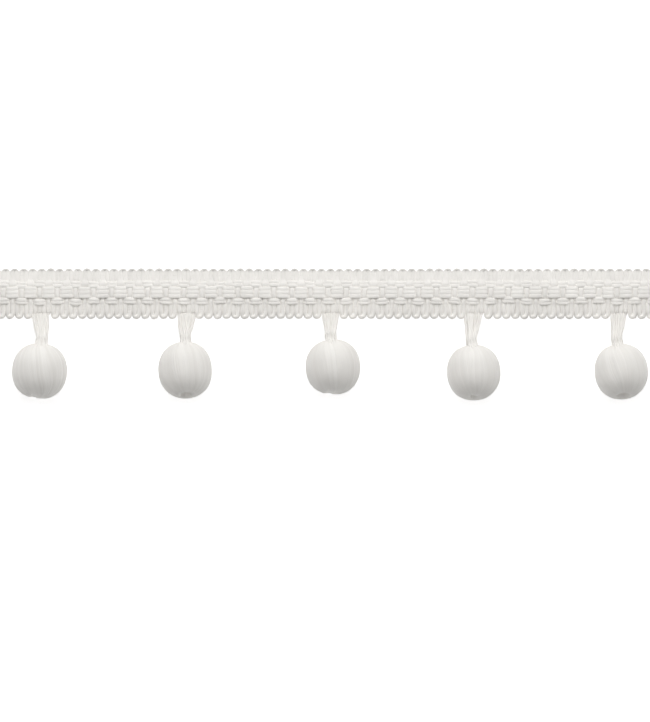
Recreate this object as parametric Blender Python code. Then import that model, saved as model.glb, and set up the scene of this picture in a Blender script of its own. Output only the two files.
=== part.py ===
"""Beaded fringe trim: a woven gimp heading with picot edges, five yarn hangers and five yarn-wound beads.

The trim lies on its back on the surface z = 0. X runs along its length, +Y is its plain picot edge,
the beads lie towards -Y, and +Z faces the viewer. The origin is the centre of the heading's back.
"""

import math

import bmesh
import bpy
from mathutils import Matrix, Vector

MM = 0.001

# The heading is woven of ribs that run across it. Its columns are counted along its length from the left
# end: a rib has its crest on each odd column, and the even columns are the valleys between ribs.
RIB_PITCH = 1.354 * MM
RIBS_PER_PENDANT = 32
RIBS_PER_BLOCK = 4
COLUMNS_PER_RIB = 2
COLUMNS_PER_PICOT = 2 * COLUMNS_PER_RIB
COLUMNS_PER_BLOCK = RIBS_PER_BLOCK * COLUMNS_PER_RIB

# Heights of the heading's face over its flat back.
RIB_CREST = 1.2 * MM
RIB_VALLEY = 0.85 * MM
CORD_TOP = 1.85 * MM
CORD_CROSSING = 1.6 * MM
CORD_DIP = 1.25 * MM
GROOVE = 1.05 * MM
PICOT_TIP = 0.75 * MM

# Rows across the heading, from its plain edge to its beaded edge. Y is the distance from the centre
# line, and shift is the column in a block, or in a picot, where a crossing, or a loop, has its middle.
HEADING_ROWS = (
    {"y": 6.75 * MM, "relief": "picot", "shift": 0},
    {"y": 6.35 * MM, "relief": "rib", "shift": 0},
    {"y": 4.10 * MM, "relief": "rib", "shift": 0},
    {"y": 3.50 * MM, "relief": "cords", "shift": 3},
    {"y": 2.60 * MM, "relief": "cords", "shift": 3},
    {"y": 2.15 * MM, "relief": "groove", "shift": 0},
    {"y": 1.50 * MM, "relief": "cords", "shift": 7},
    {"y": -0.60 * MM, "relief": "cords", "shift": 7},
    {"y": -1.25 * MM, "relief": "groove", "shift": 0},
    {"y": -1.75 * MM, "relief": "cords", "shift": 3},
    {"y": -2.65 * MM, "relief": "cords", "shift": 3},
    {"y": -3.15 * MM, "relief": "rib", "shift": 0},
    {"y": -5.75 * MM, "relief": "rib", "shift": 0},
    {"y": -6.10 * MM, "relief": "picot", "shift": 2},
)
UPPER_PICOT_REACH = 0.85 * MM
LOWER_PICOT_REACH = 1.5 * MM
PICOT_SHOULDER = 0.72
PICOTS_PER_HANGER = 2

# Each hanger is a narrow root strip beside the heading's edge, and strands gathered in a neck.
PIECE_GAP = 0.3 * MM
ROOT_WIDTH = 5.0 * MM
ROOT_DEPTH = 1.0 * MM
ROOT_HEIGHT = 1.15 * MM
NECK_WIDTH = 3.7 * MM
NECK_HEIGHT = 2.2 * MM
NECK_LENGTH = 0.9 * MM
NECK_SIDES = 12
STRAND_RADIUS = 0.21 * MM
STRAND_STEPS = 5
STRAND_ANCHOR = 0.45 * MM
STRAND_LAYERS = (
    {"strands": 6, "spread": 0.80, "root_z": 0.82 * MM, "neck_z": 0.6 * MM},
    {"strands": 5, "spread": 0.64, "root_z": 0.31 * MM, "neck_z": -0.6 * MM},
)

# Each bead is wound from pole to pole. Its foot is the pole away from the heading.
BEAD_SEGMENTS = 28
BEAD_RINGS = 14
POLE_CROWDING = 0.28
SHOULDER_POWER = 2.2
FLAT_SPOT_DEPTH = 0.25 * MM
FOOT_DIMPLE_DEPTH = 1.3 * MM
FOOT_DIMPLE_RADIUS = 2.9 * MM
SOFT_GROOVES = (
    {"count": 5, "depth": 0.05 * MM, "phase": 0.4},
    {"count": 11, "depth": 0.07 * MM, "phase": 2.1},
)

# One row for each pendant along the heading. Lengths are in millimetres and angles in degrees. top_lean
# swings the bead's top pole towards -X, foot_lean swings its foot towards +X, foot_tip raises the foot off
# the surface, and turn winds the grooves round its axis.
PENDANTS = (
    {"bead_x": -87.4, "bead_y": -23.15, "width": 16.3, "length": 16.6,
     "top_lean": -3.5, "foot_lean": -9, "foot_tip": 15, "turn": 10},
    {"bead_x": -43.5, "bead_y": -22.85, "width": 15.9, "length": 16.9,
     "top_lean": 2, "foot_lean": 3, "foot_tip": 38, "turn": 75},
    {"bead_x": 0.8, "bead_y": -21.95, "width": 16.2, "length": 16.5,
     "top_lean": 7.5, "foot_lean": -7, "foot_tip": 15, "turn": 140},
    {"bead_x": 42.9, "bead_y": -23.60, "width": 15.9, "length": 16.5,
     "top_lean": 5, "foot_lean": -1, "foot_tip": 35, "turn": 205},
    {"bead_x": 87.1, "bead_y": -23.30, "width": 15.8, "length": 16.5,
     "top_lean": 8.5, "foot_lean": 4, "foot_tip": 38, "turn": 290},
)

HEADING_LENGTH = RIB_PITCH * RIBS_PER_PENDANT * len(PENDANTS)
COLUMNS_PER_PENDANT = COLUMNS_PER_RIB * RIBS_PER_PENDANT
HEADING_COLUMNS = COLUMNS_PER_PENDANT * len(PENDANTS)
ROOT_TOP_Y = HEADING_ROWS[-1]["y"] - PIECE_GAP

YARN_COLOUR = (0.80, 0.785, 0.755, 1.0)
BRAID_COLOUR = (0.79, 0.775, 0.745, 1.0)
YARN_ROUGHNESS = 0.62


def clear_scene():
    for item in list(bpy.data.objects):
        bpy.data.objects.remove(item, do_unlink=True)


def new_collection(name, hidden=False):
    collection = bpy.data.collections.new(name)
    collection.hide_render = hidden
    bpy.context.scene.collection.children.link(collection)
    return collection


def fibre_material(name, colour):
    material = bpy.data.materials.new(name)
    material.use_nodes = True
    shader = material.node_tree.nodes["Principled BSDF"]
    shader.inputs["Base Color"].default_value = colour
    shader.inputs["Roughness"].default_value = YARN_ROUGHNESS
    shader.inputs["Metallic"].default_value = 0.0
    return material


def add_object(name, body, collection, material=None):
    """An object for the shape in body, a bmesh, which is freed."""
    body.normal_update()
    bmesh.ops.recalc_face_normals(body, faces=body.faces)
    mesh = bpy.data.meshes.new(name)
    body.to_mesh(mesh)
    body.free()
    item = bpy.data.objects.new(name, mesh)
    if material:
        mesh.materials.append(material)
    collection.objects.link(item)
    return item


def mix(start, end, share):
    return start + (end - start) * share


def eased(share):
    return share * share * (3 - 2 * share)


def column_x(column):
    return mix(-HEADING_LENGTH / 2, HEADING_LENGTH / 2, column / HEADING_COLUMNS)


def root_x(pendant):
    """Each hanger leaves the middle of its repeat."""
    return column_x((PENDANTS.index(pendant) + 0.5) * COLUMNS_PER_PENDANT)


def under_hanger(column):
    """True where a hanger leaves the heading's lower edge in place of loops."""
    away = abs(column % COLUMNS_PER_PENDANT - COLUMNS_PER_PENDANT / 2)
    return away < PICOTS_PER_HANGER * COLUMNS_PER_PICOT / 2


def picot_reach(row, column):
    """How far the loop's outline stands out from its row at this column."""
    if row["y"] < 0 and under_hanger(column):
        return 0.0
    reach = UPPER_PICOT_REACH if row["y"] > 0 else LOWER_PICOT_REACH
    place = (column - row["shift"]) % COLUMNS_PER_PICOT
    return reach * (1.0, PICOT_SHOULDER, 0.0, PICOT_SHOULDER)[place]


def face_height(row, column):
    """The height of the heading's face at this row and column."""
    if row["relief"] == "rib":
        return RIB_CREST if column % COLUMNS_PER_RIB else RIB_VALLEY
    if row["relief"] == "cords":
        half_block = COLUMNS_PER_BLOCK // 2
        away = (column - row["shift"] + half_block) % COLUMNS_PER_BLOCK - half_block
        return {0: CORD_CROSSING, 1: CORD_DIP}.get(abs(away), CORD_TOP)
    return GROOVE if row["relief"] == "groove" else PICOT_TIP


def make_heading(collection, material):
    """The braid: a relief of ribs, cord blocks and picot outlines over one flat back."""
    body = bmesh.new()
    face = []
    for row in HEADING_ROWS:
        line = []
        for column in range(HEADING_COLUMNS + 1):
            outward = picot_reach(row, column) if row["relief"] == "picot" else 0.0
            y = row["y"] + math.copysign(outward, row["y"])
            line.append(body.verts.new((column_x(column), y, face_height(row, column))))
        face.append(line)
    back = [[body.verts.new((v.co.x, v.co.y, 0.0)) for v in line] for line in (face[0], face[-1])]
    # The strips run the length of the face, then down one edge, across the back and up the other.
    strips = [*zip(face, face[1:]), (face[-1], back[1]), (back[1], back[0]), (back[0], face[0])]
    for upper, lower in strips:
        for i in range(HEADING_COLUMNS):
            body.faces.new((upper[i], upper[i + 1], lower[i + 1], lower[i]))
    for end in (0, -1):
        body.faces.new([line[end] for line in face] + [back[1][end], back[0][end]])
    return add_object("heading", body, collection, material)


def bead_centre(pendant):
    height = pendant["width"] * MM / 2 - FLAT_SPOT_DEPTH
    return Vector((pendant["bead_x"] * MM, pendant["bead_y"] * MM, height))


def turned(offset, polar, pendant):
    """An offset from the bead's centre, turned as the bead's ring at this polar angle is. Each ring turns
    a little more than the one above it, so the top pole stays under the hanger and the foot comes up."""
    tip = math.radians(-pendant["foot_tip"]) * polar / math.pi
    lean = math.radians(mix(pendant["top_lean"], pendant["foot_lean"], polar / math.pi))
    return Matrix.Rotation(lean, 3, "Z") @ Matrix.Rotation(tip, 3, "X") @ offset


def bead_point(polar, around, pendant):
    """A point of the winding. Polar runs from 0 at the top, +Y, to pi at the foot."""
    power = 2 / SHOULDER_POWER
    across = pendant["width"] * MM / 2 * math.sin(polar) ** power
    along = math.copysign(abs(math.cos(polar)) ** power, math.cos(polar)) * pendant["length"] * MM / 2
    if along < 0:
        inside = max(0.0, 1 - across / FOOT_DIMPLE_RADIUS)
        along += FOOT_DIMPLE_DEPTH * eased(inside)
    for groove in SOFT_GROOVES:
        wave = math.cos(groove["count"] * around + groove["phase"] + math.radians(pendant["turn"]))
        across += groove["depth"] * wave * math.sin(polar) ** 2
    offset = Vector((across * math.cos(around), along, across * math.sin(around)))
    point = bead_centre(pendant) + turned(offset, polar, pendant)
    point.z = max(point.z, 0.0)
    return point


def over_top_pole(x, above, z, pendant):
    """A point beside the bead's axis and that far above its top pole."""
    offset = Vector((x, pendant["length"] * MM / 2 + above, z))
    return bead_centre(pendant) + turned(offset, 0.0, pendant)


def make_bead(name, pendant, collection, material):
    """A yarn-wound bead, with a dimpled foot and a small flat spot where it rests."""
    body = bmesh.new()
    bmesh.ops.create_uvsphere(body, u_segments=BEAD_SEGMENTS, v_segments=BEAD_RINGS, radius=1.0)
    for vert in body.verts:
        polar = math.acos(max(-1.0, min(1.0, vert.co.z)))
        polar -= POLE_CROWDING / 2 * math.sin(2 * polar)
        around = math.atan2(vert.co.y, vert.co.x) if abs(vert.co.z) < 1 - 1e-6 else 0.0
        vert.co = bead_point(polar, around, pendant)
    bead = add_object(name, body, collection, material)
    bead.data.shade_smooth()
    return bead


def strand_ends(pendant):
    """Root and neck points of each strand, layer by layer from side to side."""
    root_y = ROOT_TOP_Y - ROOT_DEPTH + STRAND_ANCHOR
    anchor = PIECE_GAP + NECK_LENGTH - STRAND_ANCHOR
    for layer in STRAND_LAYERS:
        for i in range(layer["strands"]):
            side = layer["spread"] * mix(-1.0, 1.0, i / (layer["strands"] - 1))
            root = Vector((root_x(pendant) + side * ROOT_WIDTH / 2, root_y, layer["root_z"]))
            neck_z = layer["neck_z"] * math.sqrt(1 - side**2)
            yield root, over_top_pole(side * NECK_WIDTH / 2, anchor, neck_z, pendant)


def strands_mesh(name, pendant):
    """The hanger's strands as one mesh of square tubes that stand apart."""
    curve = bpy.data.curves.new(name, "CURVE")
    curve.dimensions = "3D"
    curve.bevel_depth = STRAND_RADIUS
    curve.bevel_resolution = 0
    curve.use_fill_caps = True
    for start, end in strand_ends(pendant):
        spline = curve.splines.new("POLY")
        spline.points.add(STRAND_STEPS)
        for i, point in enumerate(spline.points):
            share = i / STRAND_STEPS
            x = mix(start.x, end.x, share)
            y = mix(start.y, end.y, share)
            z = mix(start.z, end.z, eased(share))
            point.co = (x, y, z, 1.0)
    tubes = bpy.data.objects.new(name, curve)
    bpy.context.scene.collection.objects.link(tubes)
    graph = bpy.context.evaluated_depsgraph_get()
    mesh = bpy.data.meshes.new_from_object(tubes.evaluated_get(graph))
    bpy.data.objects.remove(tubes, do_unlink=True)
    body = bmesh.new()
    body.from_mesh(mesh)
    bmesh.ops.remove_doubles(body, verts=body.verts, dist=0.001 * MM)
    return body


def join_to(item, other):
    union = item.modifiers.new("join " + other.name, "BOOLEAN")
    union.operation = "UNION"
    union.solver = "EXACT"
    union.object = other
    other.display_type = "WIRE"
    other.hide_render = True


def make_hanger(name, pendant, collection, helpers, material):
    """Strands that leave a root strip at the heading's edge and gather in a neck over the bead."""
    body = bmesh.new()
    bmesh.ops.create_cube(body, size=1.0)
    for vert in body.verts:
        x = root_x(pendant) + vert.co.x * ROOT_WIDTH
        y = ROOT_TOP_Y + (vert.co.y - 0.5) * ROOT_DEPTH
        vert.co = (x, y, (vert.co.z + 0.5) * ROOT_HEIGHT)
    hanger = add_object(name, body, collection, material)

    neck = bmesh.new()
    bmesh.ops.create_cone(neck, cap_ends=True, segments=NECK_SIDES, radius1=0.5, radius2=0.5, depth=1.0)
    for vert in neck.verts:
        above = PIECE_GAP + (vert.co.z + 0.5) * NECK_LENGTH
        vert.co = over_top_pole(vert.co.x * NECK_WIDTH, above, vert.co.y * NECK_HEIGHT, pendant)
    join_to(hanger, add_object(name + "_neck", neck, helpers))
    join_to(hanger, add_object(name + "_strands", strands_mesh(name + "_paths", pendant), helpers))
    return hanger


def main():
    clear_scene()
    trim = new_collection("beaded_fringe_trim")
    helpers = new_collection("joined_forms", hidden=True)
    make_heading(trim, fibre_material("braid_fibre", BRAID_COLOUR))
    for number, pendant in enumerate(PENDANTS, start=1):
        strand_fibre = fibre_material(f"hanger_{number}_fibre", YARN_COLOUR)
        bead_fibre = fibre_material(f"bead_{number}_fibre", YARN_COLOUR)
        make_hanger(f"hanger_{number}", pendant, trim, helpers, strand_fibre)
        make_bead(f"bead_{number}", pendant, trim, bead_fibre)


main()
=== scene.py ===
"""Beaded fringe trim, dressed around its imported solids.

Lengths are millimetres, except those of the camera, the floor and the lights, which are metres as the
meshes are. X runs along the trim, +Y is its plain picot edge, the beads lie towards -Y, and +Z faces the
viewer.
"""

import math

import bpy
import numpy as np
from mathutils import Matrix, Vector


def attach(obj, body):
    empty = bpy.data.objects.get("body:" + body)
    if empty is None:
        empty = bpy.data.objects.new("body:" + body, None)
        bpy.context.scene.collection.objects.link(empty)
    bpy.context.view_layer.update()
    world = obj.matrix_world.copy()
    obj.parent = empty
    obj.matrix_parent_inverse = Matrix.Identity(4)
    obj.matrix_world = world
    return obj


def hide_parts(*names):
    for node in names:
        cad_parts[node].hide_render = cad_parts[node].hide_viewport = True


MM = 0.001
CURVE_STEPS = 12

# The heading: ribs of weft yarn run across it in one serpentine, and rows of warp cords run along it.
RIB_PITCH = 1.354
RIB_COUNT = 160
RIBS_PER_PENDANT = 32
RIBS_PER_BLOCK = 4
HALF_LENGTH = RIB_PITCH * RIB_COUNT / 2

# Each row of cords passes over three ribs and under the fourth. bind_rib is that rib's place in a block
# of four, and over is its section there. The row shapes the ribs between low and high. dive is how far
# from that rib, in ribs, the cords begin to dip, and bow is how far they stray from straight.
CORD_ROWS = (
    {"name": "upper", "cords": ({"y": 3.22, "top": 1.52}, {"y": 2.33, "top": 1.66}), "bind_rib": 1,
     "low": 1.75, "high": 3.95, "half_width": 0.60, "half_height": 0.20, "dive": 1.30, "bow": 0.15,
     "over": {"half_width": 1.26, "half_height": 0.20, "top": 1.57}, "dents": ()},
    {"name": "middle",
     "cords": ({"y": 1.46, "top": 1.78}, {"y": 0.42, "top": 1.84}, {"y": -0.62, "top": 1.84}),
     "bind_rib": 3, "low": -1.35, "high": 2.20, "half_width": 0.72, "half_height": 0.22, "dive": 0.98,
     "bow": 0.06, "over": {"half_width": 0.70, "half_height": 0.20, "top": 1.76}, "dents": ()},
    {"name": "lower", "cords": ({"y": -1.78, "top": 1.74}, {"y": -2.62, "top": 1.64}), "bind_rib": 1,
     "low": -3.30, "high": -1.15, "half_width": 0.58, "half_height": 0.21, "dive": 1.36, "bow": 0.18,
     "over": {"half_width": 0.60, "half_height": 0.34, "top": 1.62}, "dents": (-1.50, -2.90)},
)
ROW_EDGE = 0.55
DENT_DEPTH = 0.34
DENT_REACH = 0.28
CORD_TAPER = 0.25
CORD_UNDER_TOP = 0.80
CORD_DEPTH = 0.45
CORD_CROWN = 0.05
CORD_FULLNESS = 2.0
CORD_STEPS_PER_RIB = 5
CORD_SIDES = 10
CORD_GATHER = 0.88
CORD_WANDER = 0.03
CORD_UNEVENNESS = 0.035
CORD_MOTTLE = 0.08

# Weft yarn where it is free and where it is held down: half width, half height over its middle, and top.
WEFT_FREE = {"half_width": 0.87, "half_height": 0.23, "top": 1.28}
WEFT_UNDER = {"half_width": 0.80, "half_height": 0.22, "top": 1.10}
LOWER_RIBS = {"narrower": 0.12, "swell": 0.17}
WEFT_FOOT = 0.04
WEFT_SIDES = 12
WEFT_FULLNESS = 2.1
WEFT_TONE = 0.98
WEFT_WANDER = 0.035
WEFT_MOTTLE = 0.07
WEFT_LEAST_DEPTH = 0.2
RIB_SHIFT = 0.03
RIB_UNEVENNESS = (0.95, 1.05)

# The ribs thin out towards the edges: the place where this starts, its width, and the loss of height.
UPPER_THINNING = {"start": 3.4, "width": 3.1, "loss": 0.50}
LOWER_THINNING = {"start": 3.2, "width": 3.0, "loss": 0.10}

# Loops that the weft makes where it turns back, at each edge of the heading. pinch brings the two ribs
# of a loop together, roll leans the yarn outwards, in degrees, and rim is added to its tone outside and
# taken from it inside: on the lower loops that is painted shade on the outer edge and painted light on
# the inner side. tone is added to the whole loop's tone: painted shade, strongest on the upper loops.
UPPER_LOOP = {"base_y": 6.62, "reach": 0.60, "half_width": 0.47, "half_height": 0.34, "pinch": 0.0,
              "left_z": 0.40, "right_z": 0.38, "skew": 0.04, "roll": 0.0, "tone": -0.8, "rim": 0.0}
LOWER_LOOP = {"base_y": -6.25, "reach": 0.74, "half_width": 0.62, "half_height": 0.38, "pinch": -0.03,
              "left_z": 0.46, "right_z": 0.80, "skew": -0.10, "roll": 22.0, "tone": -0.1, "rim": -0.6}
TUCKED_LOOP = {"base_y": -5.95, "reach": 0.20, "half_width": 0.44, "half_height": 0.34, "pinch": 0.0,
               "left_z": 0.38, "right_z": 0.38, "skew": 0.0, "roll": 0.0, "tone": 0.0, "rim": 0.0}
LOOP_SQUARENESS = 0.65
LOOP_TAPER = 0.8
LEG_STEPS = 30
LOOP_STEPS = 8
LOOP_REACHES = (0.90, 1.05)
LOOP_SKEWS = (0.2, 1.6)
LOOP_LIFT = 0.06
LOOP_THICKNESSES = (0.93, 1.05)

# Fine threads that bind the ribs, each over every other rib.
BINDER_ROWS = (5.58, 4.45, -3.85, -4.62, -5.38)
BINDER_RADIUS = 0.09
BINDER_TOP = 1.27
BINDER_DIP = 0.35
BINDER_PINCH = 0.07
BINDER_PINCH_REACH = 0.2
BINDER_STEPS_PER_RIB = 6
BINDER_SIDES = 6
BINDER_WANDER = 0.04

# The web is the thin ground of the weave, in the middle of its thickness.
WEB_LOW_Y = -5.7
WEB_HIGH_Y = 6.0
WEB_Z = 0.5
WEB_THICKNESS = 0.12
WEB_WAVE = 0.06
WEB_WAVE_LENGTH = 0.8
WEB_COLUMNS_PER_RIB = 4
WEB_ROWS = 24
WEB_TONE = 0.9

# Beads are wound from pole to pole. The shoulder, the flat spot and the soft grooves are as in the solids.
SHOULDER_POWER = 2.2
FLAT_SPOT_DEPTH = 0.25
SOFT_GROOVES = (
    {"count": 5, "depth": 0.05, "phase": 0.4},
    {"count": 11, "depth": 0.07, "phase": 2.1},
)
BEAD_SEGMENTS = 504
BEAD_RINGS = 72
POLE_CROWDING = 0.40
YARNS_ROUND_BEAD = 84
YARN_RELIEF = 0.085
POLE_FADE = 0.45

# How the yarns slant and stray over a bead: waves round it and from top to foot, in radians.
YARN_SLANT = (0.10, 0.22)
YARN_DRIFTS = (
    {"size": 0.05, "round": 3, "down": 2},
    {"size": 0.03, "round": 7, "down": 3},
)

# Yarns differ in height between these shares of the relief, and a groove keeps the share called body.
YARN_HEIGHTS = (0.45, 1.0)
YARN_BODY = 0.35
# Each yarn's own tone is drawn about middle with this spread, and groove is painted shade taken off the tone
# in the grooves between yarns.
YARN_TONE_AND_GROOVE_SHADE = {"middle": 0.55, "spread": 0.22, "groove": 0.35}
POLE_TONES = (0.5, 0.4)

# One row for each pendant. dimple and hole are the radius and depth of the hollows at the foot, and
# crease is the place, across the bead, and the depth of a fold in it. neck_shift moves the neck along X.
PENDANTS = (
    {"root_x": -87.03, "root_width": 5.6, "bead_x": -87.2, "bead_y": -23.15, "width": 16.3, "length": 16.6,
     "top_lean": -3.5, "foot_lean": -5, "foot_tip": 6, "turn": 10, "neck_width": 3.5, "neck_shift": 0.2,
     "dimple": (2.9, 0.5), "hole": (0.8, 0.4), "crease": (-1.3, 0.75)},
    {"root_x": -43.2, "root_width": 5.6, "bead_x": -43.5, "bead_y": -22.85, "width": 15.9, "length": 16.9,
     "top_lean": 2, "foot_lean": 3, "foot_tip": 24, "turn": 75, "neck_width": 3.1, "neck_shift": 0.3,
     "dimple": (3.1, 0.7), "hole": (2.2, 2.6), "crease": (0.0, 0.0)},
    {"root_x": 0.15, "root_width": 5.5, "bead_x": 0.8, "bead_y": -21.95, "width": 16.2, "length": 16.5,
     "top_lean": 5.5, "foot_lean": -4, "foot_tip": 6, "turn": 140, "neck_width": 3.5, "neck_shift": 0.25,
     "dimple": (2.9, 0.5), "hole": (0.8, 0.4), "crease": (-0.9, 0.75)},
    {"root_x": 42.93, "root_width": 5.4, "bead_x": 42.9, "bead_y": -23.60, "width": 15.9, "length": 16.5,
     "top_lean": 5, "foot_lean": -1, "foot_tip": 22, "turn": 205, "neck_width": 3.0, "neck_shift": 0.3,
     "dimple": (2.6, 0.8), "hole": (1.1, 2.4), "crease": (0.0, 0.0)},
    {"root_x": 86.26, "root_width": 5.1, "bead_x": 87.1, "bead_y": -23.30, "width": 15.8, "length": 16.5,
     "top_lean": 8.5, "foot_lean": 4, "foot_tip": 24, "turn": 290, "neck_width": 3.5, "neck_shift": 0.05,
     "dimple": (3.0, 1.1), "hole": (2.3, 1.7), "crease": (0.0, 0.0)},
)
CREASE_WIDTH = 0.8
CREASE_REACH = 5.0

# Hanger strands fill a flat oval at the root and a rounder one at the neck.
STRANDS_PER_HANGER = 26
STRAND_RADIUS = 0.34
STRAND_STEPS = 30
STRAND_SIDES = 8
STRAND_UNEVENNESS = (0.85, 1.15)
STRAND_SPREAD = 0.10
STRAND_LENGTH = 16
STRAND_SWAY = {"across": 0.045, "up": 0.035}
STRAND_TONE = {"middle": 0.55, "spread": 0.15}
DISC_FILL = 0.94
DISC_SCATTER = 0.04
ROOT_THICKNESS = 0.72
ROOT_START = {"y": -5.2, "z": 0.36}
ROOT_END = {"y": -6.35, "z": 0.64}
NECK_THICKNESS = 2.3
NECK_RISE = 2.2
COLLAR_RISE = 0.9
COLLAR_FLARE = 0.55

# Points between a strand's root and its neck: the share of the way along, and the share of the climb.
STRAND_CLIMB = ({"along": 0.33, "up": 0.26}, {"along": 0.68, "up": 0.66})

# Where a strand lies down on its bead: how far past its place in the neck, how much farther the front
# strands go, and how far it stands over the winding.
LANDINGS = (
    {"past": 0.5, "front": 1.3, "proud": 0.22},
    {"past": 1.0, "front": 2.2, "proud": 0.06},
    {"past": 1.6, "front": 3.0, "proud": -0.32},
)

# Yarns as they look: the colours at the dark and the light end of their tone, where painted shade in hollows
# and on loops goes towards the dark end and crowns towards the light one, roughness, and how long, fine and
# slanted their hairlines are, with the strength of their bump.
YARNS = {
    "braid_yarn": {"dark": (0.50, 0.487, 0.463, 1), "light": (0.970, 0.947, 0.908, 1), "roughness": 0.62,
                   "along": 0.5, "across": 9.0, "lay": 8.0, "bump": 0.55},
    "strand_yarn": {"dark": (0.755, 0.732, 0.695, 1), "light": (0.850, 0.834, 0.802, 1), "roughness": 0.58,
                    "along": 0.5, "across": 14.0, "lay": 12.0, "bump": 0.5},
    "winding_yarn": {"dark": (0.750, 0.728, 0.692, 1), "light": (0.850, 0.834, 0.802, 1), "roughness": 0.58,
                     "along": 0.35, "across": 7.0, "lay": 3.0, "bump": 0.5},
}
ROUGHNESS_SPREAD = 0.08
BUMP_HEIGHT = 0.03
TONE_SHARE = 0.55
HAIR_SHARE = 0.3
CLOUD_SHARE = 0.2
CLOUD_SCALE = 160.0

# The camera looks straight down on the trim, and its frame is 216.6 mm high.
FRAME_HEIGHT = 0.2166
CAMERA_X = -0.00164
CAMERA_Y = -0.02016
CAMERA_LENS = 800.0
SENSOR_WIDTH = 36.0
PICTURE_PLANE_Z = 0.003

FLOOR_SIZE = 4.0
FLOOR_COLOUR = (0.88, 0.88, 0.88, 1.0)
FLOOR_GLOW = 0.50
FLOOR_DROP = 0.00005
WORLD_LIGHT = 0.0
LIGHT_TARGET = (CAMERA_X, -0.01, 0.004)
LIGHTS = (
    {"name": "front_light", "tilt": 4.0, "swing": 0.0, "distance": 1.2, "size": 0.9, "watts": 2.6},
    {"name": "upper_light", "tilt": 25.0, "swing": 0.0, "distance": 1.2, "size": 0.9, "watts": 4.0},
    {"name": "lower_light", "tilt": -25.0, "swing": 0.0, "distance": 1.2, "size": 0.9, "watts": 3.1},
    {"name": "middle_light", "tilt": 45.0, "swing": 0.0, "distance": 0.9, "size": 0.15, "watts": 1.2},
    {"name": "top_light", "tilt": 61.0, "swing": 0.0, "distance": 0.9, "size": 0.15, "watts": 1.45},
    {"name": "left_light", "tilt": 60.0, "swing": -50.0, "distance": 0.9, "size": 0.42, "watts": 1.6},
    {"name": "right_light", "tilt": 60.0, "swing": 50.0, "distance": 0.9, "size": 0.42, "watts": 1.6},
)


def eased(share):
    share = np.clip(share, 0.0, 1.0)
    return share * share * (3 - 2 * share)


def mix(start, end, share):
    return start + (end - start) * share


def waver(rng, places, size, wavelengths):
    """Smooth unevenness along a yarn: a few waves with chance phases."""
    full = 2 * math.pi
    waves = sum(np.sin(full * places / length + rng.uniform(0, full)) for length in wavelengths)
    return size * waves / math.sqrt(len(wavelengths))


def curve_through(points, count):
    """Evenly spaced points on a smooth curve through the given ones."""
    points = np.asarray(points, float)
    ends = np.vstack([2 * points[0] - points[1], points, 2 * points[-1] - points[-2]])
    t = np.linspace(0, 1, CURVE_STEPS, endpoint=False)[:, None]
    spans = []
    for a, b, c, d in zip(ends, ends[1:], ends[2:], ends[3:]):
        cubic = (3 * b - a - 3 * c + d) * t**3 + (2 * a - 5 * b + 4 * c - d) * t**2
        spans.append((cubic + (c - a) * t + 2 * b) / 2)
    fine = np.vstack(spans + [points[-1:]])
    along = np.concatenate([[0], np.cumsum(np.linalg.norm(np.diff(fine, axis=0), axis=1))])
    places = np.linspace(0, along[-1], count)
    return np.stack([np.interp(places, along, fine[:, axis]) for axis in range(3)], axis=1)


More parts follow.
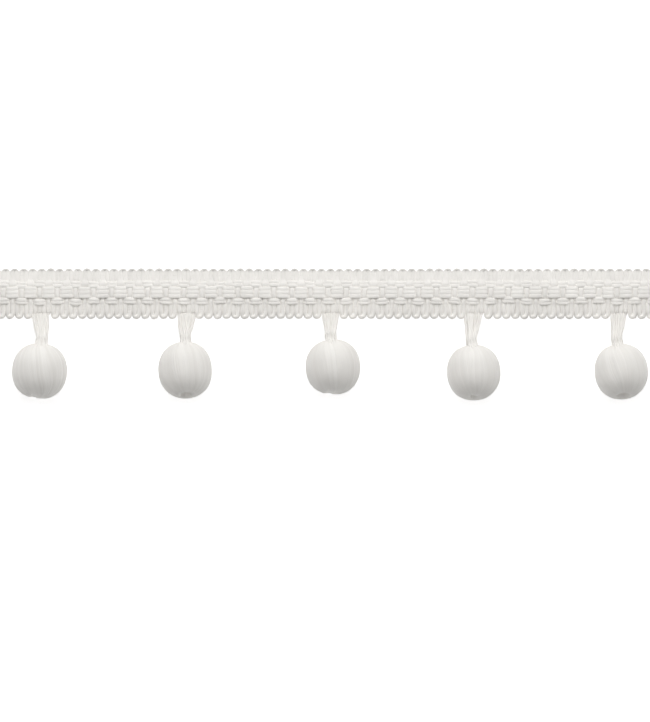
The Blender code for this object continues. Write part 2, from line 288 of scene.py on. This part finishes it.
class Skein:
    """Tubes of yarn gathered into one mesh, with yarn coordinates and a tone for each point."""

    def __init__(self):
        self.points, self.faces, self.corners, self.tones = [], [], [], []
        self.count = 0

    def add(
        self, path, half_width, half_height, sides, tone=0.9, fullness=2.0, depth=None, roll=0.0, rim=0.0,
    ):
        """A closed tube along path. Its width lies across Z, and the section is an oval or fuller.

        depth is its half height under the path, where that isn't the same as over it. roll leans the
        section to the right of the path, and rim is added to the tone there and taken from it on the left:
        painted shade on one side of the tube and painted light on the other.
        """
        path = np.asarray(path, float)
        steps = len(path)
        tangent = np.gradient(path, axis=0)
        tangent /= np.linalg.norm(tangent, axis=1)[:, None]
        side = np.cross(tangent, (0.0, 0.0, 1.0))
        side /= np.linalg.norm(side, axis=1)[:, None]
        normal = np.cross(side, tangent)
        roll = np.broadcast_to(roll, steps)[:, None]
        cosine, sine = np.cos(roll), np.sin(roll)
        side, normal = side * cosine - normal * sine, normal * cosine + side * sine
        angle = np.linspace(0, 2 * math.pi, sides, endpoint=False)
        out = np.sign(np.cos(angle)) * np.abs(np.cos(angle)) ** (2 / fullness)
        up = np.sign(np.sin(angle)) * np.abs(np.sin(angle)) ** (2 / fullness)
        half_width = np.broadcast_to(half_width, steps)[:, None, None]
        half_height = np.broadcast_to(half_height, steps)[:, None, None]
        depth = half_height if depth is None else np.broadcast_to(depth, steps)[:, None, None]
        rings = path[:, None] + side[:, None] * out[:, None] * half_width
        rings += normal[:, None] * up[:, None] * np.where(up[:, None] > 0, half_height, depth)
        self.points.append(rings.reshape(-1, 3))
        # rim is added to the tone on the tube's right side and taken from it on the left: painted shade and
        # painted light.
        ring_tones = np.broadcast_to(tone, steps)[:, None] + np.broadcast_to(rim, steps)[:, None] * out
        self.tones.append(ring_tones.ravel())

        row = np.arange(steps - 1)[:, None] * sides
        j = np.arange(sides)[None, :]
        k = (j + 1) % sides
        quads = np.stack([row + j, row + sides + j, row + sides + k, row + k], axis=2)
        self.faces += (quads.reshape(-1, 4) + self.count).tolist()
        along = np.concatenate([[0], np.cumsum(np.linalg.norm(np.diff(path, axis=0), axis=1))])
        round_length = 2 * math.pi * math.sqrt(float(np.mean(half_width)) * float(np.mean(half_height)))
        u0 = np.broadcast_to(along[:-1, None], (steps - 1, sides))
        u1 = np.broadcast_to(along[1:, None], (steps - 1, sides))
        v0 = np.broadcast_to(j / sides * round_length, (steps - 1, sides))
        v1 = np.broadcast_to((j + 1) / sides * round_length, (steps - 1, sides))
        corners = np.stack([u0, v0, u1, v0, u1, v1, u0, v1], axis=2)
        self.corners.append(corners.reshape(-1, 2))
        start_cap = np.arange(sides)
        end_cap = (steps - 1) * sides + np.arange(sides)[::-1]
        for cap in (start_cap, end_cap):
            self.faces.append((cap + self.count).tolist())
            self.corners.append(np.zeros((sides, 2)))
        self.count += steps * sides

    def piece(self, name, material):
        points = np.vstack(self.points)
        points[:, 2] = np.maximum(points[:, 2], 0.0)
        corners, tones = np.vstack(self.corners), np.concatenate(self.tones)
        return make_piece(name, points, self.faces, corners, tones, material)


def make_piece(name, points, faces, corners, tones, material):
    """A smooth mesh object. corners holds yarn coordinates, in millimetres, for each face corner."""
    mesh = bpy.data.meshes.new(name)
    mesh.from_pydata((points * MM).tolist(), [], faces)
    layer = mesh.uv_layers.new(name="yarn")
    layer.data.foreach_set("uv", np.asarray(corners, dtype=np.float32).ravel())
    tone = mesh.attributes.new("tone", "FLOAT_COLOR", "POINT")
    colours = np.ones((len(points), 4), dtype=np.float32)
    colours[:, :3] = np.asarray(tones)[:, None]
    tone.data.foreach_set("color", colours.ravel())
    mesh.materials.append(material)
    mesh.shade_smooth()
    piece = bpy.data.objects.new(name, mesh)
    bpy.context.scene.collection.objects.link(piece)
    return piece


def rib_x(rib):
    return (rib + 0.5) * RIB_PITCH - HALF_LENGTH


def row_hold(row, y):
    """How fully a row of cords shapes the ribs that it crosses, from 0 beside it to 1 in it."""
    return eased((y - row["low"]) / ROW_EDGE) * eased((row["high"] - y) / ROW_EDGE)


def thinning(y):
    """How much lower the ribs are towards either edge than in the middle of the heading."""
    loss = np.zeros_like(y)
    for edge, side in ((UPPER_THINNING, 1), (LOWER_THINNING, -1)):
        loss += edge["loss"] * np.clip((side * y - edge["start"]) / edge["width"], 0.0, 1.0)
    return loss


def rib_section(rib, y):
    """Half width, half height and top of a rib at each y."""
    free = np.ones_like(y)
    totals = {key: np.zeros_like(y) for key in WEFT_FREE}
    weight = np.zeros_like(y)
    for row in CORD_ROWS:
        hold = row_hold(row, y)
        form = row["over"] if rib % RIBS_PER_BLOCK == row["bind_rib"] else WEFT_UNDER
        for key in totals:
            totals[key] += form[key] * hold
        weight += hold
        free *= 1 - hold
    for key in totals:
        totals[key] = (totals[key] + WEFT_FREE[key] * free) / (weight + free)
    for row in CORD_ROWS:
        if rib % RIBS_PER_BLOCK == row["bind_rib"]:
            for dent in row["dents"]:
                totals["top"] -= DENT_DEPTH * np.exp(-(((y - dent) / DENT_REACH) ** 2))
    totals["top"] -= thinning(y)
    totals["half_height"] += LOWER_RIBS["swell"] * free * (y < 0)
    totals["half_width"] -= LOWER_RIBS["narrower"] * free * (y < 0)
    if rib % 2:
        pinches = (np.exp(-(((y - row) / BINDER_PINCH_REACH) ** 2)) for row in BINDER_ROWS)
        totals["top"] -= BINDER_PINCH * sum(pinches)
    return totals


def under_hanger(rib):
    """True where the lower loop that starts at this rib is tucked away behind a hanger."""
    return rib % RIBS_PER_PENDANT in (RIBS_PER_PENDANT // 2 - 2, RIBS_PER_PENDANT // 2)


def loop_points(loop, left_x, right_x, rng):
    """The turn between two ribs, from the left one to the right one."""
    angle = np.linspace(0, math.pi, LOOP_STEPS + 2)[1:-1]
    out = np.sin(angle) ** LOOP_SQUARENESS
    share = (1 - np.cos(angle)) / 2
    reach = loop["reach"] * rng.uniform(*LOOP_REACHES)
    skew = loop["skew"] * rng.uniform(*LOOP_SKEWS)
    x = mix(left_x + loop["pinch"], right_x - loop["pinch"], share) + skew * out
    y = loop["base_y"] + math.copysign(1.0, loop["base_y"]) * reach * out
    high = loop["right_z"] + rng.uniform(-LOOP_LIFT, LOOP_LIFT)
    low = loop["left_z"] + rng.uniform(-LOOP_LIFT, LOOP_LIFT)
    z = mix(low, high, eased(share))
    thickness = np.full_like(x, rng.uniform(*LOOP_THICKNESSES))
    return np.stack([x, y, z], axis=1), loop["half_width"] * thickness, loop["half_height"] * thickness


def make_weft(material):
    """The ribs and their loops: one yarn that goes back and forth across the heading."""
    rng = np.random.default_rng(11)
    parts = []
    for rib in range(RIB_COUNT):
        down = rib % 2 == 0
        lower = TUCKED_LOOP if under_hanger(rib if down else rib - 1) else LOWER_LOOP
        y = np.linspace(UPPER_LOOP["base_y"], lower["base_y"], LEG_STEPS)
        section = rib_section(rib, y)
        near_lower = eased(1 - (y - lower["base_y"]) / LOOP_TAPER)
        near_upper = eased(1 - (UPPER_LOOP["base_y"] - y) / LOOP_TAPER)
        x = rib_x(rib) + waver(rng, y, WEFT_WANDER, (4.0, 9.0)) + rng.uniform(-RIB_SHIFT, RIB_SHIFT)
        x += (lower["pinch"] * near_lower - UPPER_LOOP["pinch"] * near_upper) * (1 if down else -1)
        wide = mix(section["half_width"] * rng.uniform(*RIB_UNEVENNESS), lower["half_width"], near_lower)
        high = mix(section["half_height"] * rng.uniform(*RIB_UNEVENNESS), lower["half_height"], near_lower)
        z = section["top"] + rng.uniform(-RIB_SHIFT, RIB_SHIFT) - high
        z = mix(z, lower["left_z"] if down else lower["right_z"], near_lower)
        zeros = np.zeros(LEG_STEPS)
        # Near a lower loop, its rim of painted shade and painted light carries on into the leg.
        leg = np.stack([x, y, z, wide, high, zeros, zeros, lower["rim"] * near_lower], axis=1)
        parts.append(leg if down else leg[::-1])
        if rib < RIB_COUNT - 1:
            loop = lower if down else UPPER_LOOP
            points, wide, high = loop_points(loop, rib_x(rib), rib_x(rib + 1), rng)
            # Each loop's roll, its tone of painted shade, and its rim of painted shade and painted light.
            looks = np.tile([math.radians(loop["roll"]), loop["tone"], loop["rim"]], (LOOP_STEPS, 1))
            parts.append(np.column_stack([points, wide, high, looks]))
    rows = np.vstack(parts)
    path, (wide, high, roll, painted_loop_shade, rim) = rows[:, :3], (smoothed(column, 1) for column in rows[:, 3:].T)
    path[:, 2] = smoothed(path[:, 2], 1)
    steps = np.arange(len(path), dtype=float)
    # The loops' painted shade is added to the weft's own tone and its mottling.
    tone = WEFT_TONE + painted_loop_shade + waver(rng, steps, WEFT_MOTTLE, (17.0, 43.0, 211.0))
    depth = np.maximum(path[:, 2] - WEFT_FOOT, WEFT_LEAST_DEPTH)
    skein = Skein()
    skein.add(path, wide, high, WEFT_SIDES, tone, WEFT_FULLNESS, depth, roll, rim)
    return skein.piece("heading_weft", material)


def smoothed(values, times):
    """Values with the steps between neighbours softened."""
    for _ in range(times):
        padded = np.concatenate([values[:1], values, values[-1:]])
        values = (padded[:-2] + 2 * padded[1:-1] + padded[2:]) / 4
    return values


def cord_path(row, cord, rng, bows, slopes):
    """A warp cord that rises over three ribs and dips under the fourth, and how far it has dipped."""
    x = np.linspace(-HALF_LENGTH, HALF_LENGTH, RIB_COUNT * CORD_STEPS_PER_RIB + 1)
    block = RIBS_PER_BLOCK * RIB_PITCH
    from_first = x - rib_x(row["bind_rib"])
    number = np.floor(from_first / block).astype(int)
    place = from_first / block - number
    away = np.minimum(place, 1 - place) * block / (row["dive"] * RIB_PITCH)
    dip = (1 + np.cos(math.pi * np.minimum(away, 1.0))) / 2
    top = mix(cord["top"], CORD_UNDER_TOP, dip) + CORD_CROWN * np.sin(math.pi * place) ** 2 * (1 - dip)
    middle = sum(other["y"] for other in row["cords"]) / len(row["cords"])
    gather = mix(1.0, CORD_GATHER, dip)
    y = middle + (cord["y"] - middle) * gather + waver(rng, x, CORD_WANDER, (5.0, 13.0, 31.0))
    peak = 1 - np.abs(2 * place - 1)
    y = y + bows[number] * peak + slopes[number] * (place - 0.5) * eased(2 * peak)
    return np.stack([x, y, top - row["half_height"]], axis=1), dip


def make_cords(row, seed, material):
    rng = np.random.default_rng(seed)
    blocks = RIB_COUNT // RIBS_PER_BLOCK + 4
    bows = rng.normal(0.0, row["bow"], blocks)
    slopes = rng.normal(0.0, row["bow"], blocks)
    skein = Skein()
    for cord in row["cords"]:
        path, dip = cord_path(row, cord, rng, bows, slopes)
        uneven = 1 + waver(rng, path[:, 0], CORD_UNEVENNESS, (3.1, 7.3, 17.0))
        tone = 1.0 + waver(rng, path[:, 0], CORD_MOTTLE, (6.0, 15.0, 41.0))
        wide = row["half_width"] * uneven * (1 - CORD_TAPER * dip)
        high = row["half_height"] * uneven
        skein.add(path, wide, high, CORD_SIDES, tone, CORD_FULLNESS, CORD_DEPTH)
    return skein.piece("heading_cords_" + row["name"], material)


def make_binders(material):
    """Fine threads over every other rib."""
    rng = np.random.default_rng(31)
    x = np.linspace(-HALF_LENGTH, HALF_LENGTH, RIB_COUNT * BINDER_STEPS_PER_RIB + 1)
    wave = np.cos(math.pi * (x - rib_x(1)) / RIB_PITCH)
    skein = Skein()
    for y in BINDER_ROWS:
        top = BINDER_TOP - float(thinning(np.float64(y))) - BINDER_PINCH
        z = mix(BINDER_DIP, top, eased(0.5 + 0.75 * wave))
        path = np.stack([x, y + waver(rng, x, BINDER_WANDER, (4.0, 11.0, 27.0)), z], axis=1)
        skein.add(path, BINDER_RADIUS, BINDER_RADIUS, BINDER_SIDES)
    return skein.piece("heading_binders", material)


def make_web(material):
    """The ground of the weave: a thin closed sheet that waves from rib to rib."""
    columns, rows = RIB_COUNT * WEB_COLUMNS_PER_RIB, WEB_ROWS
    x = np.linspace(-HALF_LENGTH, HALF_LENGTH, columns + 1)
    y = np.linspace(WEB_LOW_Y, WEB_HIGH_Y, rows + 1)
    grid_x, grid_y = np.meshgrid(x, y, indexing="ij")
    wave = np.sin(math.pi * (grid_x - rib_x(0)) / RIB_PITCH) * np.sin(math.pi * grid_y / WEB_WAVE_LENGTH)
    wave = WEB_WAVE * wave
    layers = []
    for offset in (WEB_THICKNESS / 2, -WEB_THICKNESS / 2):
        layers.append(np.stack([grid_x, grid_y, WEB_Z + wave + offset], axis=2).reshape(-1, 3))
    points = np.vstack(layers)
    below = len(layers[0])
    index = np.arange(below).reshape(columns + 1, rows + 1)
    a, b, c, d = index[:-1, :-1], index[1:, :-1], index[1:, 1:], index[:-1, 1:]
    top = np.stack([a, b, c, d], axis=2).reshape(-1, 4)
    rim = np.concatenate([index[:, 0], index[-1, 1:], index[-2::-1, -1], index[0, -2:0:-1]])
    after = np.roll(rim, -1)
    wall = np.stack([rim, rim + below, after + below, after], axis=1)
    faces = np.vstack([top, top[:, ::-1] + below, wall])
    corners = points[faces.ravel()][:, :2]
    return make_piece("heading_web", points, faces.tolist(), corners, np.full(len(points), WEB_TONE), material)


def bead_centre(pendant):
    return np.array([pendant["bead_x"], pendant["bead_y"], pendant["width"] / 2 - FLAT_SPOT_DEPTH])


def turned(pendant, polar, offset):
    """Offsets from the bead's centre, turned as its rings are: the lean goes from top to foot."""
    tip = np.radians(-pendant["foot_tip"]) * polar / math.pi
    lean = np.radians(mix(pendant["top_lean"], pendant["foot_lean"], polar / math.pi))
    x, y, z = offset[..., 0], offset[..., 1], offset[..., 2]
    y, z = y * np.cos(tip) - z * np.sin(tip), y * np.sin(tip) + z * np.cos(tip)
    x, y = x * np.cos(lean) - y * np.sin(lean), x * np.sin(lean) + y * np.cos(lean)
    return np.stack([x, y, z], axis=-1)


def bead_surface(pendant, polar, around, proud=0.0):
    """Points on the winding, or that far over it. Polar runs from 0 at the top to pi at the foot."""
    power = 2 / SHOULDER_POWER
    across = pendant["width"] / 2 * np.sin(polar) ** power
    cosine = np.cos(polar)
    along = np.sign(cosine) * np.abs(cosine) ** power * pendant["length"] / 2
    for radius, depth in (pendant["dimple"], pendant["hole"]):
        along = along + np.where(cosine < 0, depth * eased(1 - across / radius), 0.0)
    place, depth = pendant["crease"]
    fold = depth * np.exp(-(((across * np.cos(around) - place) / CREASE_WIDTH) ** 2))
    along = along + np.where(cosine < 0, fold * eased(1 - across / CREASE_REACH), 0.0)
    for groove in SOFT_GROOVES:
        wave = np.cos(groove["count"] * around + groove["phase"] + math.radians(pendant["turn"]))
        across = across + groove["depth"] * wave * np.sin(polar) ** 2
    across = across + proud * np.sin(polar)
    along = along + proud * cosine
    offset = np.stack([across * np.cos(around), along, across * np.sin(around)], axis=-1)
    return bead_centre(pendant) + turned(pendant, polar, offset)


def winding_relief(pendant, polar, around, rng):
    """Height and tone of the yarns that lie side by side from pole to pole, each a little uneven.

    The tone has painted shade in the grooves between the yarns.
    """
    slant = rng.uniform(*YARN_SLANT)
    drift = 0.0
    for wave in YARN_DRIFTS:
        sideways = np.sin(wave["round"] * around + rng.uniform(0, 6))
        drift = drift + wave["size"] * sideways * np.sin(wave["down"] * polar + rng.uniform(0, 6))
    turns = (around + slant * (polar - math.pi / 2) + drift) / (2 * math.pi) * YARNS_ROUND_BEAD
    number = np.floor(turns).astype(int) % YARNS_ROUND_BEAD
    place = turns - np.floor(turns)
    heights = rng.uniform(*YARN_HEIGHTS, YARNS_ROUND_BEAD)
    yarn_tones = rng.normal(YARN_TONE_AND_GROOVE_SHADE["middle"], YARN_TONE_AND_GROOVE_SHADE["spread"], YARNS_ROUND_BEAD)
    crown = np.sqrt(np.clip(1 - (2 * place - 1) ** 2, 0.0, 1.0))
    near_pole = np.clip(np.sin(polar) / POLE_FADE, 0.0, 1.0)
    relief = YARN_RELIEF * heights[number] * (crown + YARN_BODY) * near_pole
    # The grooves between yarns get painted shade.
    return relief, yarn_tones[number] - YARN_TONE_AND_GROOVE_SHADE["groove"] * (1 - crown)


def make_bead(number, pendant, material):
    rng = np.random.default_rng(500 + number)
    share = np.linspace(0, 1, BEAD_RINGS + 1)[1:-1]
    polar = math.pi * share - POLE_CROWDING * np.sin(2 * math.pi * share)
    around = np.linspace(0, 2 * math.pi, BEAD_SEGMENTS, endpoint=False)
    grid_polar, grid_around = np.meshgrid(polar, around, indexing="ij")
    relief, tone = winding_relief(pendant, grid_polar, grid_around, rng)
    points = bead_surface(pendant, grid_polar, grid_around, relief).reshape(-1, 3)
    poles = bead_surface(pendant, np.array([0.0, math.pi]), np.array([0.0, 0.0]))
    points = np.vstack([points, poles])
    points[:, 2] = np.maximum(points[:, 2], 0.0)
    tones = np.concatenate([tone.ravel(), POLE_TONES])

    rings = len(polar)
    row = np.arange(rings - 1)[:, None] * BEAD_SEGMENTS
    j = np.arange(BEAD_SEGMENTS)[None, :]
    k = (j + 1) % BEAD_SEGMENTS
    quads = np.stack([row + j, row + k, row + BEAD_SEGMENTS + k, row + BEAD_SEGMENTS + j], axis=2)
    top, foot = rings * BEAD_SEGMENTS, rings * BEAD_SEGMENTS + 1
    last = (rings - 1) * BEAD_SEGMENTS
    fans = [(top, (i + 1) % BEAD_SEGMENTS, i) for i in range(BEAD_SEGMENTS)]
    fans += [(foot, last + i, last + (i + 1) % BEAD_SEGMENTS) for i in range(BEAD_SEGMENTS)]
    faces = quads.reshape(-1, 4)[:, ::-1].tolist() + [fan[::-1] for fan in fans]

    radius = pendant["width"] / 2
    u = np.broadcast_to((polar * radius)[:, None], (rings, BEAD_SEGMENTS))
    v0 = np.broadcast_to(around * radius, (rings, BEAD_SEGMENTS))
    v1 = np.broadcast_to((around + 2 * math.pi / BEAD_SEGMENTS) * radius, (rings, BEAD_SEGMENTS))
    quad_corners = np.stack([u[1:], v0[1:], u[1:], v1[1:], u[:-1], v1[:-1], u[:-1], v0[:-1]], axis=2)
    fan_corners = np.zeros((len(fans) * 3, 2))
    corners = np.vstack([quad_corners.reshape(-1, 2), fan_corners])
    return make_piece(f"winding_{number}", points, faces, corners, tones, material)


def disc_places(count, rng):
    """Places spread evenly over a unit disc, with a little chance in each."""
    index = np.arange(count) + 0.5
    radius = np.sqrt(index / count) * DISC_FILL
    angle = index * math.pi * (3 - math.sqrt(5)) + rng.uniform(0, 2 * math.pi)
    places = np.stack([radius * np.cos(angle), radius * np.sin(angle)], axis=1)
    return places + rng.normal(0.0, DISC_SCATTER, places.shape)


def strand_path(pendant, place, rng):
    """From under the heading's edge, up to the neck, and down onto the bead's winding."""
    side, height = place
    root_x = pendant["root_x"] + side * pendant["root_width"] / 2
    spread = rng.normal(0.0, STRAND_SPREAD)
    root_z = ROOT_END["z"] + height * ROOT_THICKNESS / 2
    neck_x = pendant["neck_shift"] + side * pendant["neck_width"] / 2
    neck_z = height * NECK_THICKNESS / 2

    def over_pole(x, above, z):
        offset = np.array([x, pendant["length"] / 2 + above, z])
        return bead_centre(pendant) + turned(pendant, np.float64(0.0), offset)

    front = max(0.0, height)
    neck = over_pole(neck_x + spread, NECK_RISE, neck_z)
    collar = over_pole(neck_x, COLLAR_RISE, neck_z + COLLAR_FLARE * front)
    points = [(root_x, ROOT_START["y"], ROOT_START["z"]), (root_x + spread, ROOT_END["y"], root_z)]
    for climb in STRAND_CLIMB:
        x = mix(root_x, neck[0], climb["along"]) + spread
        points.append((x, mix(ROOT_END["y"], neck[1], climb["along"]), mix(root_z, neck[2], climb["up"])))
    points += [neck, collar]
    for landing in LANDINGS:
        z = neck_z + math.copysign(landing["past"] + landing["front"] * front, neck_z)
        reach = math.hypot(neck_x, z) / (pendant["width"] / 2)
        polar = np.float64(math.asin(reach ** (SHOULDER_POWER / 2)))
        points.append(bead_surface(pendant, polar, math.atan2(z, neck_x), landing["proud"]))
    path = curve_through(points, STRAND_STEPS)
    along = np.linspace(0, STRAND_LENGTH, STRAND_STEPS)
    path[:, 0] += waver(rng, along, STRAND_SWAY["across"], (5.0, 11.0))
    path[:, 2] += waver(rng, along, STRAND_SWAY["up"], (6.0, 13.0))
    return path


def make_hanger(number, pendant, material):
    rng = np.random.default_rng(900 + number)
    skein = Skein()
    for place in disc_places(STRANDS_PER_HANGER, rng):
        path = strand_path(pendant, place, rng)
        radius = STRAND_RADIUS * rng.uniform(*STRAND_UNEVENNESS)
        tone = float(np.clip(rng.normal(STRAND_TONE["middle"], STRAND_TONE["spread"]), 0, 1))
        skein.add(path, radius, radius, STRAND_SIDES, tone)
    return skein.piece(f"strands_{number}", material)


def yarn_material(name):
    """Smooth fibre yarn, with hairlines along it and a tone for each point of its mesh."""
    yarn = YARNS[name]
    material = bpy.data.materials.new(name)
    material.use_nodes = True
    nodes, links = material.node_tree.nodes, material.node_tree.links
    shader = nodes["Principled BSDF"]
    shader.inputs["Sheen Weight"].default_value = 0.12
    shader.inputs["Sheen Roughness"].default_value = 0.45
    shader.inputs["Specular IOR Level"].default_value = 0.35
    shader.inputs["IOR"].default_value = 1.5

    uv = nodes.new("ShaderNodeUVMap")
    uv.uv_map = "yarn"
    twist = nodes.new("ShaderNodeMapping")
    twist.inputs["Rotation"].default_value = (0.0, 0.0, math.radians(yarn["lay"]))
    stretch = nodes.new("ShaderNodeMapping")
    stretch.inputs["Scale"].default_value = (yarn["along"], yarn["across"], 1.0)
    hairs = nodes.new("ShaderNodeTexNoise")
    hairs.inputs["Scale"].default_value = 1.0
    hairs.inputs["Detail"].default_value = 3.0
    hairs.inputs["Roughness"].default_value = 0.6
    links.new(uv.outputs["UV"], twist.inputs["Vector"])
    links.new(twist.outputs["Vector"], stretch.inputs["Vector"])
    links.new(stretch.outputs["Vector"], hairs.inputs["Vector"])

    place = nodes.new("ShaderNodeTexCoord")
    clouds = nodes.new("ShaderNodeTexNoise")
    clouds.inputs["Scale"].default_value = CLOUD_SCALE
    clouds.inputs["Detail"].default_value = 2.0
    links.new(place.outputs["Object"], clouds.inputs["Vector"])

    # The tone holds each yarn's own tone, and on the weft's loops and the beads' grooves painted shade and
    # painted light too.
    tone = nodes.new("ShaderNodeAttribute")
    tone.attribute_name = "tone"
    tone_sum = nodes.new("ShaderNodeMath")
    tone_sum.operation = "MULTIPLY_ADD"
    tone_sum.inputs[1].default_value = TONE_SHARE
    links.new(tone.outputs["Fac"], tone_sum.inputs[0])
    hair_share = nodes.new("ShaderNodeMath")
    hair_share.operation = "MULTIPLY"
    hair_share.inputs[1].default_value = HAIR_SHARE
    links.new(hairs.outputs["Fac"], hair_share.inputs[0])
    cloud_share = nodes.new("ShaderNodeMath")
    cloud_share.operation = "MULTIPLY_ADD"
    cloud_share.inputs[1].default_value = CLOUD_SHARE
    links.new(clouds.outputs["Fac"], cloud_share.inputs[0])
    links.new(hair_share.outputs["Value"], cloud_share.inputs[2])
    links.new(cloud_share.outputs["Value"], tone_sum.inputs[2])
    ramp = nodes.new("ShaderNodeMix")
    ramp.data_type = "RGBA"
    ramp.inputs["A"].default_value = yarn["dark"]
    ramp.inputs["B"].default_value = yarn["light"]
    links.new(tone_sum.outputs["Value"], ramp.inputs["Factor"])
    links.new(ramp.outputs["Result"], shader.inputs["Base Color"])

    gloss = nodes.new("ShaderNodeMapRange")
    gloss.inputs["To Min"].default_value = yarn["roughness"] + ROUGHNESS_SPREAD
    gloss.inputs["To Max"].default_value = yarn["roughness"] - ROUGHNESS_SPREAD
    links.new(hairs.outputs["Fac"], gloss.inputs["Value"])
    links.new(gloss.outputs["Result"], shader.inputs["Roughness"])

    bump = nodes.new("ShaderNodeBump")
    bump.inputs["Strength"].default_value = yarn["bump"]
    bump.inputs["Distance"].default_value = BUMP_HEIGHT * MM
    links.new(hairs.outputs["Fac"], bump.inputs["Height"])
    links.new(bump.outputs["Normal"], shader.inputs["Normal"])
    return material


def floor_material():
    material = bpy.data.materials.new("pale_floor")
    material.use_nodes = True
    shader = material.node_tree.nodes["Principled BSDF"]
    shader.inputs["Base Color"].default_value = FLOOR_COLOUR
    shader.inputs["Roughness"].default_value = 0.9
    shader.inputs["Specular IOR Level"].default_value = 0.0
    shader.inputs["Emission Color"].default_value = (1.0, 1.0, 1.0, 1.0)
    shader.inputs["Emission Strength"].default_value = FLOOR_GLOW
    return material


def make_floor():
    half = FLOOR_SIZE / 2
    mesh = bpy.data.meshes.new("floor")
    corners = [(-half, -half, 0), (half, -half, 0), (half, half, 0), (-half, half, 0)]
    mesh.from_pydata(corners, [], [(0, 1, 2, 3)])
    mesh.materials.append(floor_material())
    floor = bpy.data.objects.new("floor", mesh)
    floor.location.z = -FLOOR_DROP
    bpy.context.scene.collection.objects.link(floor)


def make_lights():
    """Soft lights over the picture, each tilted so many degrees towards +Y and swung so many towards +X."""
    world = bpy.data.worlds.new("room")
    world.use_nodes = True
    world.node_tree.nodes["Background"].inputs["Color"].default_value = (1.0, 1.0, 1.0, 1.0)
    world.node_tree.nodes["Background"].inputs["Strength"].default_value = WORLD_LIGHT
    bpy.context.scene.world = world
    target = Vector(LIGHT_TARGET)
    for setting in LIGHTS:
        light = bpy.data.lights.new(setting["name"], "AREA")
        light.shape = "SQUARE"
        light.size = setting["size"]
        light.energy = setting["watts"]
        lamp = bpy.data.objects.new(setting["name"], light)
        tilt, swing = math.radians(setting["tilt"]), math.radians(setting["swing"])
        across = math.cos(swing)
        direction = Vector((math.sin(swing), math.sin(tilt) * across, math.cos(tilt) * across))
        lamp.location = target + direction * setting["distance"]
        lamp.rotation_euler = direction.to_track_quat("Z", "Y").to_euler()
        bpy.context.scene.collection.objects.link(lamp)


def make_camera():
    data = bpy.data.cameras.new("camera")
    data.lens = CAMERA_LENS
    data.sensor_width = SENSOR_WIDTH
    data.clip_end = 50.0
    camera = bpy.data.objects.new("camera", data)
    distance = FRAME_HEIGHT * CAMERA_LENS / SENSOR_WIDTH
    camera.location = (CAMERA_X, CAMERA_Y, PICTURE_PLANE_Z + distance)
    bpy.context.scene.collection.objects.link(camera)
    bpy.context.scene.camera = camera


def dress():
    braid, strand, winding = (yarn_material(name) for name in YARNS)
    web = make_web(braid)
    heading = [make_weft(braid), make_binders(braid)]
    for seed, row in enumerate(CORD_ROWS, start=21):
        heading.append(make_cords(row, seed, braid))
    for piece in (web, *heading):
        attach(piece, "root")
        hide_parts("heading")
    for number, pendant in enumerate(PENDANTS, start=1):
        strands = make_hanger(number, pendant, strand)
        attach(strands, "root")
        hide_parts(f"hanger_{number}")
        bead = make_bead(number, pendant, winding)
        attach(bead, "root")
        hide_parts(f"bead_{number}")


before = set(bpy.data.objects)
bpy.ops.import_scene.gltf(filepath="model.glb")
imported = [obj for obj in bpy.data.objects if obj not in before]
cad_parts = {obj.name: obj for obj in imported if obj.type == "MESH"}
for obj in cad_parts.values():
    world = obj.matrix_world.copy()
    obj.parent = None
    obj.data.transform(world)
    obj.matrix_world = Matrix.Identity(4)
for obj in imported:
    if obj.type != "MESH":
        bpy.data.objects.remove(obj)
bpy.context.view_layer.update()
bpy.context.scene.view_settings.view_transform = "Standard"
dress()
make_floor()
make_lights()
make_camera()
